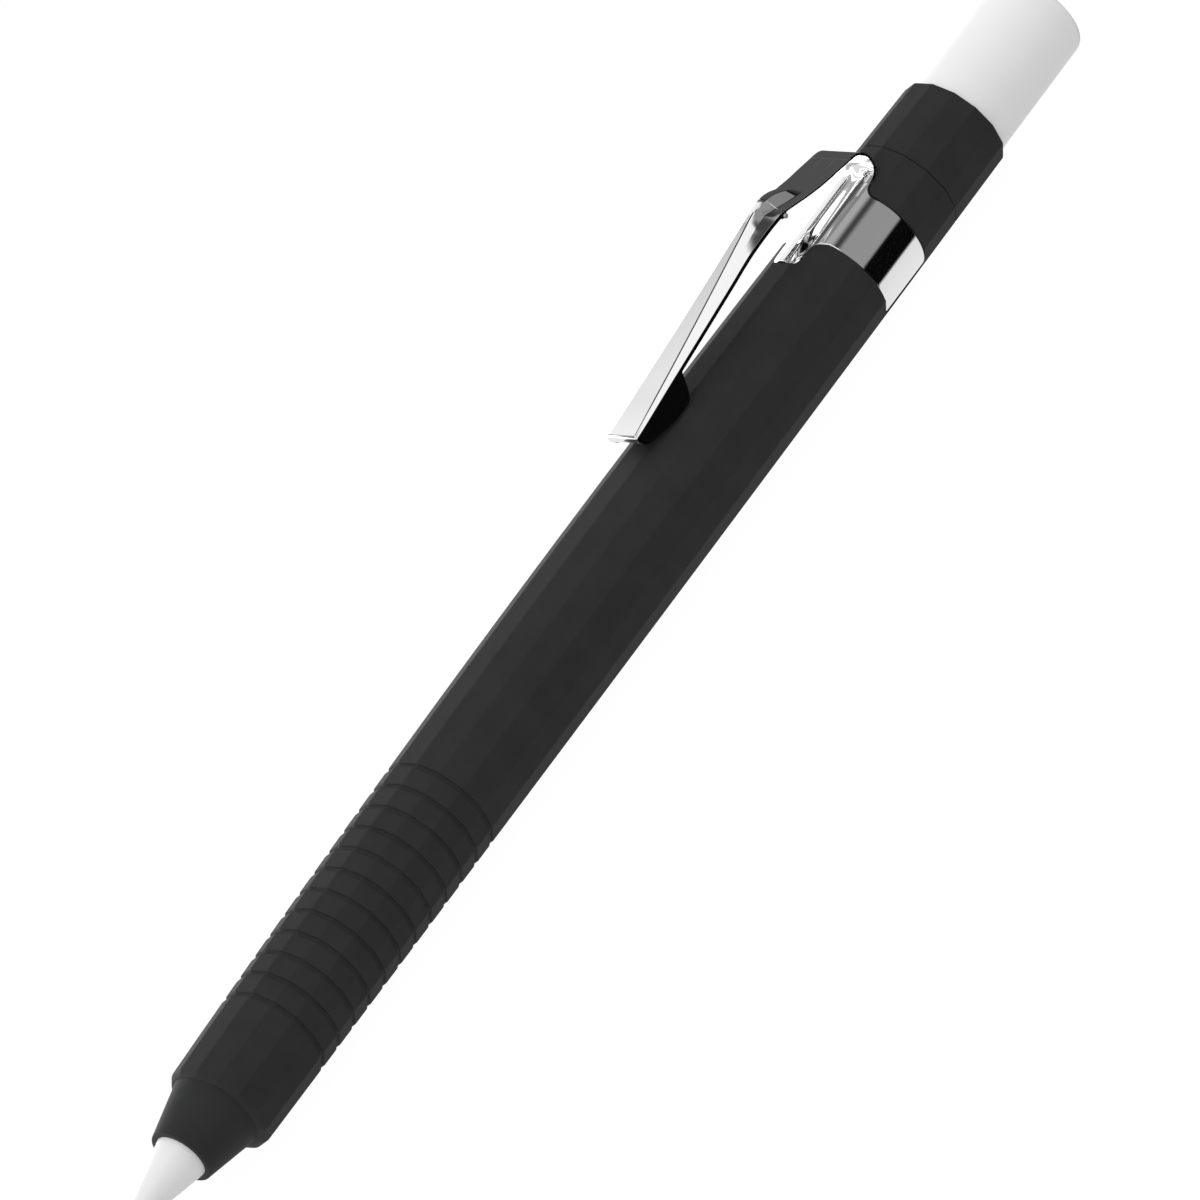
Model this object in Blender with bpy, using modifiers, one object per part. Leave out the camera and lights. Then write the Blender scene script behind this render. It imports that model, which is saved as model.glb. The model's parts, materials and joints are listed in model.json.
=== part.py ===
"""A digital stylus in a sleeve shaped like a drafting mechanical pencil.

+X runs along the pencil from the tip to the rear end, +Z points to the pocket clip, and the
origin is the bottom centre of the whole object, on the flat that it rests on.
Lengths below are in millimetres and become metres where a mesh or an object is made.
"""

from math import cos, pi, radians, sin, tan

import bmesh
import bpy

MM = 0.001

# ---------------------------------------------------------------- driving dimensions
TIP_X = -73.05            # end of the nib
REAR_X = 73.05            # end of the stylus
AXIS_Z = 5.1              # stylus axis above the flat underside

STYLUS_R = 4.7
GRIP_R = 4.5              # the housing is a little slimmer inside the grip
TIP_ANGLE = radians(12.8)  # half angle of the white cone
TIP_APEX_X = -73.9        # where the cone would end if it were not rounded
TIP_BALL_R = 0.242
NIB_BASE_X = -59.2
HOUSING_FRONT_X = -58.9
HOUSING_REAR_X = 71.9
HOUSING_BORE_R = 4.15

FACETS = 14
FACET_HALF = pi / FACETS
SWELL_X = 6.0             # the sleeve is fattest here
SWELL_R = 5.62
SWELL_FALL = 1.5e-4       # loss of radius per square millimetre of distance
NOSE_X = -63.1
NOSE_R = 3.02
SHOULDER_X = -57.7
SHOULDER_R = 4.2
SHOULDER_ROUND = 0.8
SEAM_X = 51.84
SEAM_GAP = 0.08
SLEEVE_REAR_X = 59.7
SLEEVE_FIT = 0.08         # radial clearance around the stylus
CONE_FIT = 0.06

GROOVES = 12
GROOVE_FIRST_X = -48.3
GROOVE_PITCH = 2.4
GROOVE_DEPTH = 0.18
GROOVE_STEP = 0.03        # steep rear side
GROOVE_LAND = 0.2
GROOVE_RAMP = 0.4         # soft front side

BAND_FRONT_X = 40.7
BAND_REAR_X = 46.8
BAND_R = 5.3
BAND_SHEET = 0.25
BAND_LIFT = 0.17          # the band's centre above the stylus axis
BAND_END = 139            # degrees each way; the band stays open over the flat underside
TAB_FRONT_X = 37.6
TAB_REAR_X = 48.6         # the tab curls up here into the bridge
CURL_X = 49.72            # rear wall of the window, behind the curl
WINDOW_FIT = 0.03
WINDOW_FLOOR_R = 5.02
CURL_HALF = 2.45          # half width of the curl
CLIP_SHEET = 0.22

PIN_X = 39.6
PIN_Z = AXIS_Z + 9.4
PIN_R = 0.24
PIN_FIT = 0.04
PIN_HALF = 2.05
ARM_REAR = 0.12           # the arm ends just behind the pin
BRIDGE_FRONT = 0.3        # and the bridge starts here, clear of the arm's swing
EAR_Y = (1.0, 1.3)        # inner and outer face of each lug that carries the pin
KNUCKLE_R = 0.5
KNUCKLE_HALF = 0.9
SEGMENTS = 48             # sides of the larger turned pieces


# ---------------------------------------------------------------- shared helpers
def clear_scene():
    for item in list(bpy.data.objects):
        bpy.data.objects.remove(item, do_unlink=True)


def new_collection(name):
    group = bpy.data.collections.new(name)
    bpy.context.scene.collection.children.link(group)
    return group


def material(name, colour, roughness, metallic=0.0):
    made = bpy.data.materials.new(name)
    made.use_nodes = True
    shader = made.node_tree.nodes["Principled BSDF"]
    shader.inputs["Base Color"].default_value = (*colour, 1.0)
    shader.inputs["Roughness"].default_value = roughness
    shader.inputs["Metallic"].default_value = metallic
    return made


def add_object(name, mesh, finish=None, location=(0, 0, 0)):
    """Links a mesh as a named part, or as a cutter when it has no finish."""
    item = bpy.data.objects.new(name, mesh)
    item.location = [value * MM for value in location]
    if finish is None:
        cutters.objects.link(item)
        item.hide_render = True
        item.display_type = "WIRE"
    else:
        parts.objects.link(item)
        mesh.materials.append(finish)
    return item


def mesh_from(name, shape):
    bmesh.ops.recalc_face_normals(shape, faces=shape.faces)
    mesh = bpy.data.meshes.new(name)
    shape.to_mesh(mesh)
    shape.free()
    return mesh


def combine(target, other, operation="DIFFERENCE"):
    change = target.modifiers.new(other.name, "BOOLEAN")
    change.operation = operation
    change.object = other


def turned(name, profile, finish=None, sides=SEGMENTS, closed=False, centre_z=AXIS_Z):
    """Turns (x, radius) points about the X axis; the outer side runs from rear to tip."""
    shape = bmesh.new()
    points = [shape.verts.new((radius * MM, 0, x * MM)) for x, radius in profile]
    for first, second in zip(points, points[1:]):
        shape.edges.new((first, second))
    if closed:
        shape.edges.new((points[-1], points[0]))
    mesh = bpy.data.meshes.new(name)
    shape.to_mesh(mesh)
    shape.free()
    item = add_object(name, mesh, finish, (0, 0, centre_z))
    item.rotation_euler = (0, pi / 2, 0)
    spin = item.modifiers.new("spin", "SCREW")
    spin.steps = spin.render_steps = sides
    spin.use_merge_vertices = True
    spin.merge_threshold = 1e-6
    spin.use_smooth_shade = True
    return item


def loft(name, rings, finish=None):
    """Joins closed rings of (x, y, z) points; a ring may have twice its neighbour's points."""
    shape = bmesh.new()
    made = [[shape.verts.new([value * MM for value in point]) for point in ring] for ring in rings]
    for first, second in zip(made, made[1:]):
        if len(first) == len(second):
            for k in range(len(first)):
                after = (k + 1) % len(first)
                shape.faces.new((first[k], first[after], second[after], second[k]))
        else:
            fine, coarse = (first, second) if len(first) > len(second) else (second, first)
            for k in range(len(coarse)):
                after = (k + 1) % len(coarse)
                middle = fine[2 * k + 1]
                shape.faces.new((coarse[k], fine[2 * k], middle))
                shape.faces.new((coarse[k], middle, coarse[after]))
                shape.faces.new((coarse[after], middle, fine[2 * after]))
    shape.faces.new(made[0])
    shape.faces.new(made[-1])
    return add_object(name, mesh_from(name, shape), finish)


def box(name, low, high, finish=None):
    """A block between two corners, measured from the stylus axis."""
    shape = bmesh.new()
    bmesh.ops.create_cube(shape, size=1.0)
    for vert in shape.verts:
        vert.co = [(a + (b - a) * (c + 0.5)) * MM for a, b, c in zip(low, high, vert.co)]
    return add_object(name, mesh_from(name, shape), finish, (0, 0, AXIS_Z))


def boxes(name, corners, finish):
    """Numbered blocks of one kind, each its own object."""
    for number, (low, high) in enumerate(corners, 1):
        box(f"{name}_{number}", low, high, finish)


def cone_radius(x):
    return (x - TIP_APEX_X) * tan(TIP_ANGLE)


# ---------------------------------------------------------------- the sleeve
def swell(x):
    return SWELL_R - SWELL_FALL * (x - SWELL_X) ** 2


def facet_ring(x, radius):
    """A section of the sleeve with one flat up and one flat on the ground."""
    centre = radius * cos(FACET_HALF)
    corners = [FACET_HALF * (1 + 2 * k) for k in range(FACETS)]
    return [(x, radius * sin(a), centre + radius * cos(a)) for a in corners]


def fine_ring(ring):
    """Adds the middle of each side to a ring."""
    points = []
    for k, point in enumerate(ring):
        after = ring[(k + 1) % len(ring)]
        points += [point, tuple((a + b) / 2 for a, b in zip(point, after))]
    return points


def round_ring(x, radius):
    corners = [FACET_HALF * (1 + k) for k in range(2 * FACETS)]
    return [(x, radius * sin(a), AXIS_Z + radius * cos(a)) for a in corners]


def shoulder_rings():
    """The barrel's front end rounds from its facets into the round nose."""
    steps = 4
    rings = []
    for k in range(steps + 1):
        turn = pi / 2 * k / steps
        x = SHOULDER_X + SHOULDER_ROUND * (1 - cos(turn))
        inner = round_ring(x, SHOULDER_R)
        outer = fine_ring(facet_ring(x, swell(x)))
        blend = 0.04 + 0.96 * sin(turn)
        rings.append([(x, a[1] + (b[1] - a[1]) * blend, a[2] + (b[2] - a[2]) * blend)
                      for a, b in zip(inner, outer)])
    return rings


def barrel_stations():
    """(x, depth) along the faceted barrel, with the grip's grooves."""
    stations = [(-55.5, 0.0)]
    for k in range(GROOVES):
        lip = GROOVE_FIRST_X + GROOVE_PITCH * k
        floor_end = lip - GROOVE_STEP - GROOVE_LAND
        stations += [(floor_end - GROOVE_RAMP, 0.0), (floor_end, GROOVE_DEPTH),
                     (lip - GROOVE_STEP, GROOVE_DEPTH), (lip, 0.0)]
    stations += [(x, 0.0) for x in (-14, -4, 6, 16, 26, 36, 44, SEAM_X - SEAM_GAP / 2)]
    return stations


def groove_ring(x, depth):
    """A grooved section keeps its centre, so that its floor is the same depth all round."""
    ring = facet_ring(x, swell(x))
    centre = swell(x) * cos(FACET_HALF)
    scale = 1 - depth / swell(x)
    return [(x, y * scale, centre + (z - centre) * scale) for x, y, z in ring]


def bore_cutter(name):
    bore = STYLUS_R + SLEEVE_FIT
    grip_bore = GRIP_R + SLEEVE_FIT
    cone_start = TIP_APEX_X + (grip_bore - CONE_FIT) / tan(TIP_ANGLE)
    front = NOSE_X - 1
    profile = [(SLEEVE_REAR_X + 1, 0), (SLEEVE_REAR_X + 1, bore), (0, bore), (-45, grip_bore),
               (cone_start, grip_bore), (front, cone_radius(front) + CONE_FIT), (front, 0)]
    return turned(name, profile)


def make_sleeve():
    nose = [round_ring(NOSE_X, NOSE_R - 0.12), round_ring(NOSE_X + 0.12, NOSE_R + 0.03),
            round_ring(SHOULDER_X - 0.1, SHOULDER_R - 0.03)]
    rings = nose + shoulder_rings()
    rings += [groove_ring(x, depth) for x, depth in barrel_stations()]
    barrel = loft("sleeve_barrel", rings, silicone)
    combine(barrel, bore_cutter("barrel_bore"))
    combine(barrel, clip_sheet("clip_window", WINDOW_FLOOR_R, 7.0, WINDOW_FIT, WINDOW_REAR))

    front = SEAM_X + SEAM_GAP / 2
    cap_rings = [facet_ring(front, swell(front)), facet_ring(56, swell(56)),
                 groove_ring(SLEEVE_REAR_X - 0.2, 0.0), groove_ring(SLEEVE_REAR_X, 0.15)]
    cap = loft("sleeve_cap_ring", cap_rings, silicone)
    combine(cap, bore_cutter("cap_bore"))


# ---------------------------------------------------------------- the pocket clip
FRONT_EDGE = [  # distance round the band from the clip's middle, x of the front edge
    (0.0, TAB_FRONT_X), (1.25, 37.65), (1.5, 37.85), (1.65, 38.3), (1.72, 39.5), (1.95, 40.2),
    (2.55, 40.57), (3.0, BAND_FRONT_X)]
REAR_EDGE = [(0.0, TAB_REAR_X), (2.4, TAB_REAR_X), (2.62, 47.6), (2.9, 47.1), (3.5, BAND_REAR_X)]
WINDOW_REAR = [(0.0, CURL_X), (1.95, CURL_X), (2.4, 49.48), (2.6, 48.9), (2.7, 47.65), (2.95, 47.15),
               (3.5, BAND_REAR_X)]


def reading(table, x):
    """Values at x from rows of (x, ...), on straight lines between the rows."""
    if x <= table[0][0]:
        return table[0][1:]
    for low, high in zip(table, table[1:]):
        if x <= high[0]:
            share = (x - low[0]) / (high[0] - low[0])
            return [a + (b - a) * share for a, b in zip(low[1:], high[1:])]
    return table[-1][1:]


def clip_angles():
    half = [0, 8, 13.5, 16.2, 17.8, 18.6, 21, 26, 27.2, 28.3, 29.2, 31.6, 37.8]
    half += list(range(48, BAND_END, 10)) + [BAND_END]
    return [radians(-a) for a in reversed(half[1:])] + [radians(a) for a in half]


def clip_sheet(name, inner_r, outer_r, grow=0.0, rear_edge=REAR_EDGE, finish=None):
    """The band with its front tab, wrapped round the barrel."""
    rings = []
    for angle in clip_angles():
        reach = abs(angle) * BAND_R
        front, rear = reading(FRONT_EDGE, reach)[0], reading(rear_edge, reach)[0]
        wide = angle + (grow / BAND_R if angle > 0 else -grow / BAND_R if angle < 0 else 0)
        edges = [(front - grow, outer_r), (rear + grow, outer_r),
                 (rear + grow, inner_r), (front - grow, inner_r)]
        rings.append([(x, r * sin(wide), AXIS_Z + BAND_LIFT + r * cos(wide)) for x, r in edges])
    return loft(name, rings, finish)


def bent_sheet(name, rows, finish=None, location=(0, 0, 0)):
    """Sheet metal from rows of (x, y, height above the axis) points along its outer face."""
    shape = bmesh.new()
    made = []
    for row in rows:
        placed = [(x - location[0], y - location[1], AXIS_Z + z - location[2]) for x, y, z in row]
        made.append([shape.verts.new([value * MM for value in point]) for point in placed])
    for first, second in zip(made, made[1:]):
        for k in range(len(first) - 1):
            shape.faces.new((first[k], first[k + 1], second[k + 1], second[k]))
    mesh = bpy.data.meshes.new(name)
    shape.to_mesh(mesh)
    shape.free()
    item = add_object(name, mesh, finish, location)
    sheet = item.modifiers.new("sheet", "SOLIDIFY")
    sheet.thickness = CLIP_SHEET * MM
    sheet.offset = -1
    sheet.use_even_offset = True
    return item


ROOF = [  # x, then half width and height of the ridge, the middle crease and the side edge
    (14.5, 1.75, 8.16, 1.87, 8.05, 1.99, 7.94), (20.0, 1.41, 8.81, 1.67, 8.64, 1.92, 8.467),
    (25.75, 1.05, 9.53, 1.45, 9.27, 1.85, 9.01), (31.0, 0.72, 10.23, 1.25, 9.87, 1.78, 9.51),
    (35.0, 0.47, 10.79, 1.10, 10.34, 1.73, 9.886), (36.4, 0.39, 10.99, 1.05, 10.45, 1.72, 9.94),
    (37.4, 0.34, 11.14, 1.00, 10.52, 1.73, 9.965), (38.4, 0.33, 11.25, 0.98, 10.50, 1.78, 9.97),
    (39.2, 0.42, 11.25, 1.05, 10.30, 1.86, 9.93), (40.0, 0.50, 11.14, 1.15, 10.05, 1.97, 9.80),
    (40.8, 0.56, 10.88, 1.27, 9.76, 2.10, 9.61), (41.7, 0.62, 10.38, 1.43, 9.47, 2.28, 9.39),
    (42.4, 0.70, 9.83, 1.55, 9.26, 2.40, 9.22), (43.1, 0.80, 9.30, 1.60, 9.06, 2.45, 9.05),
    (43.7, 0.85, 8.98, 1.60, 8.90, 2.47, 8.89), (44.4, 0.85, 8.73, 1.60, 8.73, 2.50, 8.73),
    (46.35, 0.85, 8.34, 1.60, 8.34, 2.50, 8.34), (47.3, 0.85, 8.15, 1.60, 8.15, 2.50, 8.15)]
CURL = [  # x and height of the sheet's outer face at its side edge, and how far its middle rises
    (47.95, 4.69, 0.62), (48.6, 4.79, 0.60), (49.08, 5.07, 0.45), (49.38, 5.5, 0.25),
    (49.52, 6.0, 0.08), (49.54, 6.5, 0.0), (49.46, 7.0, 0.0), (49.28, 7.4, 0.0), (49.0, 7.72, 0.0),
    (48.6, 7.9, 0.0), (48.1, 8.0, 0.0)]
FOOT_EDGE = [  # x, height of the foot's lower edge
    (14.5, 7.1), (14.9, 6.74), (15.5, 6.50), (16.6, 6.25), (17.8, 6.01), (19.1, 5.84),
    (20.2, 5.82), (20.95, 6.02), (21.45, 6.80), (21.9, 7.95), (22.2, 8.36)]
ARM_FRONT_X = 14.32
ARM_FLANGE = 0.2


def roof_row(x, flange=0.0):
    """A section of the clip: a flat ridge, two bent sides and an optional flange."""
    ridge, ridge_z, mid, mid_z, side, side_z = reading(ROOF, x)
    near = [(x, -side, side_z), (x, -mid, mid_z), (x, -ridge, ridge_z)]
    if flange:
        near = [(x, -side, side_z - flange)] + near
    return near + [(x, -y, z) for x, y, z in reversed(near)]


def bracket_rows():
    """From the tab, round the curl, and forward along the bridge plate over the hump."""
    rows = []
    for x, z, crown in CURL:
        near = [(x, -y, z + crown * (1 - (y / CURL_HALF) ** 2)) for y in (CURL_HALF, 1.6, 0.85)]
        rows.append(near + [(x, -y, z) for x, y, z in reversed(near)])
    stations = [row[0] for row in reversed(ROOF) if row[0] > 40] + [PIN_X + BRIDGE_FRONT]
    return rows + [roof_row(x) for x in stations]


def pin_rod(name, radius, half, finish=None, sides=20):
    shape = bmesh.new()
    bmesh.ops.create_cone(shape, cap_ends=True, segments=sides, radius1=radius * MM,
                          radius2=radius * MM, depth=2 * half * MM)
    item = add_object(name, mesh_from(name, shape), finish, (PIN_X, 0, PIN_Z))
    item.rotation_euler = (pi / 2, 0, 0)
    return item


def make_ear(side):
    """A lug under the bridge's front end that carries the cross pin."""
    outline = [(PIN_X - 0.4, 9.03), (PIN_X - 0.4, 9.78), (PIN_X + 0.28, 9.78),
               (PIN_X + 0.4, 9.84), (41.5, 9.42), (41.5, 9.05)]
    rings = [[(x, side * y, AXIS_Z + z) for x, z in outline] for y in EAR_Y]
    return loft(f"ear_{side}", rings)


def make_bracket():
    bracket = clip_sheet("clip_bracket", BAND_R - BAND_SHEET, BAND_R, finish=chrome)
    combine(bracket, bent_sheet("bridge_sheet", bracket_rows()), "UNION")
    for side in (-1, 1):
        combine(bracket, make_ear(side), "UNION")
    combine(bracket, pin_rod("ear_bore", PIN_R + PIN_FIT, 4))
    pin_rod("clip_pin", PIN_R, PIN_HALF, steel)


def arm_rows():
    """The arm from its hinge to its foot, with two lobes that rest on the barrel."""
    stations = [(PIN_X + ARM_REAR, 0.12), (39.2, 0.15), (38.4, ARM_FLANGE)]
    stations += [(x, ARM_FLANGE) for x in (37.4, 36.4, 35.0, 31.0, 25.75, 22.6)]
    for x, low in reversed(FOOT_EDGE):
        stations.append((x, max(ARM_FLANGE, reading(ROOF, x)[5] - low)))
    rows = [roof_row(x, flange) for x, flange in stations]
    lip = [(ARM_FRONT_X, y, min(z - 0.05, 7.98)) for x, y, z in rows[-1]]
    return rows + [lip]


def make_arm():
    arm = bent_sheet("clip_arm", arm_rows(), chrome, (PIN_X, 0, PIN_Z))
    combine(arm, pin_rod("knuckle", KNUCKLE_R, KNUCKLE_HALF), "UNION")
    combine(arm, box("knuckle_web", (PIN_X - 0.25, -0.5, 9.7), (PIN_X + 0.1, 0.5, 11.05)), "UNION")
    combine(arm, pin_rod("knuckle_bore", PIN_R + PIN_FIT, 4))


# ---------------------------------------------------------------- the stylus
def make_housing():
    profile = [(HOUSING_REAR_X, HOUSING_BORE_R), (HOUSING_REAR_X, STYLUS_R), (0, STYLUS_R),
               (-45, GRIP_R), (TIP_APEX_X + GRIP_R / tan(TIP_ANGLE), GRIP_R),
               (HOUSING_FRONT_X, cone_radius(HOUSING_FRONT_X)), (HOUSING_FRONT_X, 2.7),
               (-57.8, 2.7), (-54, 3.6), (-52, 3.9), (-50, HOUSING_BORE_R)]
    turned("stylus_housing", profile, white, closed=True)


def make_end():
    edge = 0.7
    profile = [(REAR_X, 0)]
    for k in range(5):
        turn = pi / 2 * k / 4
        profile.append((REAR_X - edge * (1 - cos(turn)), STYLUS_R - edge * (1 - sin(turn))))
    cap_front = HOUSING_REAR_X + 0.06
    profile += [(cap_front, STYLUS_R), (cap_front, 3.5), (70.0, 3.5), (70.0, 0)]
    turned("end_cap", profile, white)
    turned("end_cap_seal", [(71.5, 3.6), (71.5, 4.05), (70.3, 4.05), (70.3, 3.6)], rubber,
           closed=True)


def make_nib():
    profile = [(-71.3, 0), (-71.3, 0.33), (-66.0, 0.33), (-66.0, 1.15), (NIB_BASE_X, 1.15),
               (NIB_BASE_X, cone_radius(NIB_BASE_X))]
    ball_x = TIP_X + TIP_BALL_R
    for k in range(4):
        turn = (pi / 2 - TIP_ANGLE) * (1 - k / 4)
        profile.append((ball_x - TIP_BALL_R * cos(turn), TIP_BALL_R * sin(turn)))
    turned("nib", profile + [(TIP_X, 0)], white, sides=32)
    core = [(-64.2, 0), (-64.2, 0.72), (-59.5, 0.72), (-59.5, 1.05), (-65.8, 1.05),
            (-65.8, 0.22), (-71.0, 0.22), (-71.0, 0)]
    turned("nib_core", core, steel, sides=20)


def make_plunger():
    stud = [(-49.45, 0), (-49.45, 0.88), (-58.1, 0.88), (-58.1, 2.0), (-58.7, 2.0),
            (-58.7, 0.62), (-63.8, 0.62), (-63.8, 0)]
    turned("tip_stud", stud, steel, sides=24)
    bush = [(-53.2, 0.95), (-53.2, 2.6), (-57.6, 2.6), (-57.6, 0.95)]
    turned("stud_bush", bush, brass, sides=24, closed=True)
    turned("force_sensor", [(-48.2, 0), (-48.2, 3.0), (-49.2, 3.0), (-49.2, 0)], copper, sides=24)
    turned("sensor_mount", [(-46.9, 0), (-46.9, 4.0), (-48.1, 4.0), (-48.1, 0)], grey, sides=24)


def make_chassis():
    """A long spine plate between two round bulkheads."""
    spine = box("chassis", (-46.2, -3.1, -2.3), (66.5, 3.1, -1.7), grey)
    for name, x in (("front_bulkhead", -46.7), ("rear_bulkhead", 66.0)):
        wall = turned(name, [(x + 1.2, 0), (x + 1.2, 4.0), (x, 4.0), (x, 0)], sides=24)
        combine(spine, wall, "UNION")
    combine(spine, box("flex_slot", (22.4, -1.3, -3), (24.6, 1.3, -1)))


def make_electronics():
    box("main_board", (25.0, -2.8, -1.6), (64.5, 2.8, -1.0), green)
    chips = [((29, -2.0, -0.95), (35, 2.0, 0.15)), ((38, -1.6, -0.95), (42, 1.6, -0.05)),
             ((46, -2.2, -0.95), (49, 0.4, -0.25)), ((53, -1.5, -0.95), (60, 1.5, 0.35))]
    boxes("board_chip", chips, black)

    turned("battery_cell", [(20.5, 0), (20.5, 2.1), (20.2, 2.4), (-43.7, 2.4),
                            (-44.0, 2.1), (-44.0, 0)], steel, sides=32, centre_z=AXIS_Z + 1.25)
    boxes("battery_pad", [((-40, -0.8, -1.65), (-26, 0.8, -1.35)),
                          ((2, -0.8, -1.65), (16, 0.8, -1.35))], rubber)

    box("ferrite_plate", (3.5, -1.7, -3.05), (18.5, 1.7, -2.7), black)
    make_coil()
    magnets = [((x, -1.3, -3.6), (x + 8, 1.3, -2.7)) for x in (-18, -8, 22.5, 32.5)]
    boxes("magnet", magnets, steel)

    touch = []
    for k in range(13):
        angle = radians(-60 + 10 * k)
        edges = [(-43.5, 4.05), (-12.0, 4.05), (-12.0, 3.85), (-43.5, 3.85)]
        touch.append([(x, r * sin(angle), AXIS_Z + r * cos(angle)) for x, r in edges])
    loft("touch_sensor", touch, copper)
    make_flex()
    antenna = [(69.6, 3.0), (69.6, 3.9), (67.6, 3.9), (67.6, 3.0)]
    turned("antenna", antenna, copper, sides=24, closed=True)


def make_coil():
    """A flat racetrack winding for charging through the underside."""
    half_length, half_width, hole = 6.8, 1.75, 0.9
    outline = bpy.data.curves.new("charge_coil", "CURVE")
    outline.dimensions = "2D"
    outline.fill_mode = "BOTH"
    outline.extrude = 0.2 * MM
    straight = half_length - half_width
    for reach in (half_width, hole):
        spline = outline.splines.new("POLY")
        points = []
        for centre, start in ((straight, -pi / 2), (-straight, pi / 2)):
            for k in range(9):
                turn = start + pi * k / 8
                points.append((centre + reach * cos(turn), reach * sin(turn)))
        spline.points.add(len(points) - 1)
        for slot, (x, y) in zip(spline.points, points):
            slot.co = (x * MM, y * MM, 0, 1)
        spline.use_cyclic_u = True
    guide = bpy.data.objects.new("coil_guide", outline)
    bpy.context.scene.collection.objects.link(guide)
    depsgraph = bpy.context.evaluated_depsgraph_get()
    mesh = bpy.data.meshes.new_from_object(guide.evaluated_get(depsgraph))
    shape = bmesh.new()
    shape.from_mesh(mesh)
    bmesh.ops.remove_doubles(shape, verts=shape.verts, dist=1e-6)
    bpy.data.objects.remove(guide, do_unlink=True)
    add_object("charge_coil", mesh_from("charge_coil", shape), copper, (11, 0, AXIS_Z - 3.36))


def make_flex():
    """A thin ribbon under the spine that folds up through the slot to the board."""
    path = [(-45.4, -2.4), (22.9, -2.4), (23.3, -2.3), (23.6, -2.0), (23.9, -1.5), (24.4, -1.2),
            (24.8, -1.15)]
    shape = bmesh.new()
    rows = [[shape.verts.new((x * MM, side * 0.9 * MM, (AXIS_Z + z) * MM)) for side in (-1, 1)]
            for x, z in path]
    for first, second in zip(rows, rows[1:]):
        shape.faces.new((first[0], second[0], second[1], first[1]))
    mesh = bpy.data.meshes.new("flex_cable")
    shape.to_mesh(mesh)
    shape.free()
    ribbon = add_object("flex_cable", mesh, amber)
    sheet = ribbon.modifiers.new("sheet", "SOLIDIFY")
    sheet.thickness = 0.1 * MM
    sheet.offset = -1


clear_scene()
parts = new_collection("digital_stylus_sleeve")
cutters = new_collection("cutters")

silicone = material("black_silicone", (0.030, 0.030, 0.032), 0.62)
chrome = material("chrome", (0.86, 0.86, 0.87), 0.06, 1.0)
white = material("white_plastic", (0.90, 0.90, 0.90), 0.28)
steel = material("steel", (0.62, 0.62, 0.64), 0.25, 1.0)
brass = material("brass", (0.72, 0.55, 0.28), 0.3, 1.0)
copper = material("copper", (0.80, 0.45, 0.28), 0.3, 1.0)
grey = material("grey_frame", (0.35, 0.36, 0.38), 0.5)
green = material("circuit_board", (0.03, 0.20, 0.09), 0.45)
black = material("black_package", (0.02, 0.02, 0.02), 0.4)
rubber = material("rubber", (0.05, 0.05, 0.05), 0.8)
amber = material("amber_film", (0.55, 0.28, 0.05), 0.35)

make_sleeve()
make_bracket()
make_arm()
make_housing()
make_end()
make_nib()
make_plunger()
make_chassis()
make_electronics()
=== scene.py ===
"""Looks of a digital stylus in a sleeve shaped like a drafting mechanical pencil.

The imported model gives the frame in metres: +X from the tip to the rear end, +Z to the clip.
Shapes below are written in millimetres, measured from the stylus axis.
"""

import json
from math import cos, pi, radians, sin, sqrt, tan

import bmesh
import bpy
from mathutils import Matrix, Vector


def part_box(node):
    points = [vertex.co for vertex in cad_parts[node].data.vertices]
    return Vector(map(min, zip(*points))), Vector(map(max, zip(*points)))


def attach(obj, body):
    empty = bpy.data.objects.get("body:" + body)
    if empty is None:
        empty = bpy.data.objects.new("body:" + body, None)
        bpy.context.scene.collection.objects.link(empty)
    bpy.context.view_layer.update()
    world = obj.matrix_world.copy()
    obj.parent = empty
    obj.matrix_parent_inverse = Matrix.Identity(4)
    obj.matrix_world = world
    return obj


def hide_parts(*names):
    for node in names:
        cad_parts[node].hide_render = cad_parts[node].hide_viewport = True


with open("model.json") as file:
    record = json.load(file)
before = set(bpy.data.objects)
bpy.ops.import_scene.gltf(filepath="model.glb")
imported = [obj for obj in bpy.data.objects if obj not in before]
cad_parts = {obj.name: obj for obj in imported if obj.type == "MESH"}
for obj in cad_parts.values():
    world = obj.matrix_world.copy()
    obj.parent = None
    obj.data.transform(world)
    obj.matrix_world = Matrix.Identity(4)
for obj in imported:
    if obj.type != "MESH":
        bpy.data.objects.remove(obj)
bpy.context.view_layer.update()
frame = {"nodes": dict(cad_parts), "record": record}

MM = 0.001

# ---------------------------------------------------------------- places read from the frame
TIP_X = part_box("nib")[0].x / MM
REAR_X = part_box("end_cap")[1].x / MM
AXIS_Z = (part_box("nib")[0].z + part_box("nib")[1].z) / 2 / MM
NOSE_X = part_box("sleeve_barrel")[0].x / MM
SEAM_FRONT_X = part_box("sleeve_barrel")[1].x / MM
SEAM_REAR_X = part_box("sleeve_cap_ring")[0].x / MM
RIM_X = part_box("sleeve_cap_ring")[1].x / MM
NIB_BASE_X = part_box("nib")[1].x / MM
HOUSING_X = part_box("stylus_housing")[0].x / MM
PIN_LOW, PIN_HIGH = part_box("clip_pin")
PIN_X = (PIN_LOW.x + PIN_HIGH.x) / 2 / MM
PIN_Z = (PIN_LOW.z + PIN_HIGH.z) / 2 / MM - AXIS_Z
PIN_HALF = PIN_HIGH.y / MM
TAB_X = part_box("clip_bracket")[0].x / MM

# ---------------------------------------------------------------- shared sizes
STYLUS_R = 4.7
GRIP_R = 4.5
TIP_ANGLE = radians(12.8)
TIP_APEX_X = -73.9
TIP_BALL_R = 0.242
TAPER_X = -45             # the housing thins from mid length to here, for the grip
END_EDGE = 0.7            # rounding of the rear end
HOUSING_BORE_R = 4.15
INSERT_R = 1.15           # the nib's bore for its metal insert
ELECTRODE_R = 0.33

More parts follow.
